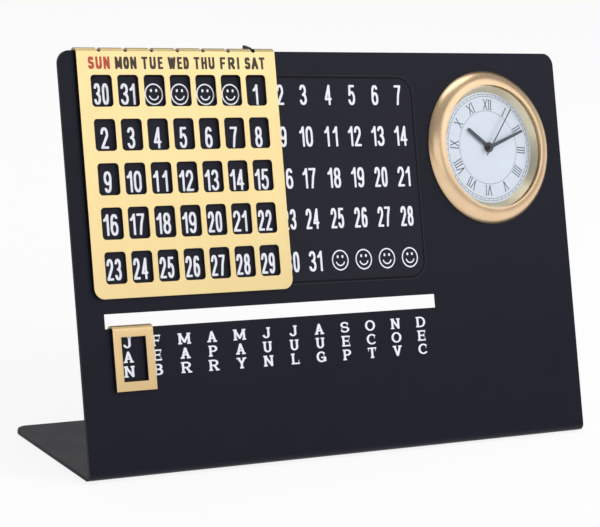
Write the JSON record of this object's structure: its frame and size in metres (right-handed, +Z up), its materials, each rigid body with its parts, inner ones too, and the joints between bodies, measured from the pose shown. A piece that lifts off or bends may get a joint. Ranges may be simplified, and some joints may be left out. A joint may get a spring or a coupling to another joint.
{
  "type": "perpetual desk calendar",
  "caption": "Leaning bent-sheet desk stand with a gilt slider that frames the dates under weekday names, a month cursor hung in a slot and an inset analogue clock.",
  "frame": {"origin": "centre of the base plate's resting face", "axes": "+X along the panel's width to the reader's right, +Y from the front to the rear of the base, +Z up; the panel's front faces -Y and leans back"},
  "size_m": [0.19, 0.0552, 0.1175],
  "materials": {
    "black_paint": "satin baked enamel, near black",
    "date_print": "satin printed film, near black with pale figures",
    "gilt": "bright polished gilt with fine drawn lines",
    "gilt_bezel": "satin gilt, warmer than the slides",
    "lens": "clear polished",
    "dial_white": "satin pale bluish white with dark print",
    "hand_grey": "satin dark grey",
    "black_moulding": "fine-grained black moulding",
    "grip_rubber": "matt black",
    "plated_steel": "zinc-plated",
    "grey_moulding": "grey moulding",
    "white_moulding": "ivory moulding",
    "magnet": "dark grey bonded magnet",
    "plain_brass": "turned and stamped brass",
    "copper_wire": "enamelled copper wire",
    "board_green": "green solder mask",
    "black_resin": "glossy black resin"
  },
  "bodies": {
    "stand": {"stand": "black_paint", "date_sheet": "date_print", "clock_bezel": "gilt_bezel", "clock_lens": "lens", "lens_ring": "gilt_bezel", "dial": "dial_white", "clock_case": "black_moulding", "grip_ring": "grip_rubber", "back_cover": "black_moulding", "cover_screws": "plated_steel", "battery_hatch": "black_moulding", "movement_plate": "grey_moulding", "train_bridge": "grey_moulding", "bridge_screws": "plated_steel", "stator": "plated_steel", "coil_core": "plated_steel", "coil_bobbin": "white_moulding", "coil_winding": "copper_wire", "circuit_board": "board_green", "quartz_can": "plated_steel", "circuit_chip": "black_resin", "battery": "plated_steel", "plus_contact": "plain_brass", "minus_contact": "plain_brass"},
    "date_slider": {"date_slider": "gilt"},
    "month_cursor": {"month_cursor": "gilt"},
    "second": {"second_wheel": "white_moulding", "second_hand": "hand_grey"},
    "minute": {"centre_wheel": "plain_brass", "minute_hand": "hand_grey"},
    "hour": {"hour_wheel": "plain_brass", "hour_hand": "hand_grey"},
    "rotor": {"rotor": "magnet"},
    "intermediate": {"intermediate_wheel": "white_moulding"},
    "third": {"third_wheel": "white_moulding"},
    "minute_wheel": {"minute_wheel": "white_moulding"},
    "set_knob": {"set_knob": "black_moulding", "setting_pinion": "white_moulding"}
  },
  "joints": [
    {"name": "date_slide", "type": "slide", "parent": "stand", "child": "date_slider", "axis": [1, 0, 0], "range_m": [0, 0.0549]},
    {"name": "month_slide", "type": "slide", "parent": "stand", "child": "month_cursor", "axis": [1, 0, 0], "range_m": [-0.0016, 0.10763]},
    {"name": "second_turn", "type": "hinge", "parent": "stand", "child": "second", "pos_m": [0.06408, 0.01111, 0.08802], "axis": [0, 0.9298, -0.3681], "continuous": true},
    {"name": "minute_turn", "type": "hinge", "parent": "stand", "child": "minute", "pos_m": [0.06408, 0.01111, 0.08802], "axis": [0, 0.9298, -0.3681], "continuous": true},
    {"name": "hour_turn", "type": "hinge", "parent": "stand", "child": "hour", "pos_m": [0.06408, 0.01111, 0.08802], "axis": [0, 0.9298, -0.3681], "continuous": true},
    {"name": "rotor_turn", "type": "hinge", "parent": "stand", "child": "rotor", "pos_m": [0.06637, 0.01475, 0.09722], "axis": [0, 0.9298, -0.3681], "continuous": true},
    {"name": "intermediate_turn", "type": "hinge", "parent": "stand", "child": "intermediate", "pos_m": [0.06822, 0.01331, 0.09359], "axis": [0, 0.9298, -0.3681], "continuous": true},
    {"name": "third_turn", "type": "hinge", "parent": "stand", "child": "third", "pos_m": [0.05713, 0.01041, 0.08626], "axis": [0, 0.9298, -0.3681], "continuous": true},
    {"name": "minute_wheel_turn", "type": "hinge", "parent": "stand", "child": "minute_wheel", "pos_m": [0.06199, 0.00944, 0.0838], "axis": [0, 0.9298, -0.3681], "continuous": true},
    {"name": "knob_turn", "type": "hinge", "parent": "stand", "child": "set_knob", "pos_m": [0.05964, 0.00755, 0.07905], "axis": [0, 0.9298, -0.3681], "continuous": true}
  ],
  "couplings": [
    {"joint": "minute_turn", "follows": "second_turn", "ratio": 0.016667},
    {"joint": "hour_turn", "follows": "second_turn", "ratio": 0.0013889},
    {"joint": "rotor_turn", "follows": "second_turn", "ratio": 30},
    {"joint": "intermediate_turn", "follows": "second_turn", "ratio": -6},
    {"joint": "third_turn", "follows": "second_turn", "ratio": -0.125},
    {"joint": "minute_wheel_turn", "follows": "second_turn", "ratio": -0.0055556},
    {"joint": "knob_turn", "follows": "second_turn", "ratio": 0.011111}
  ]
}
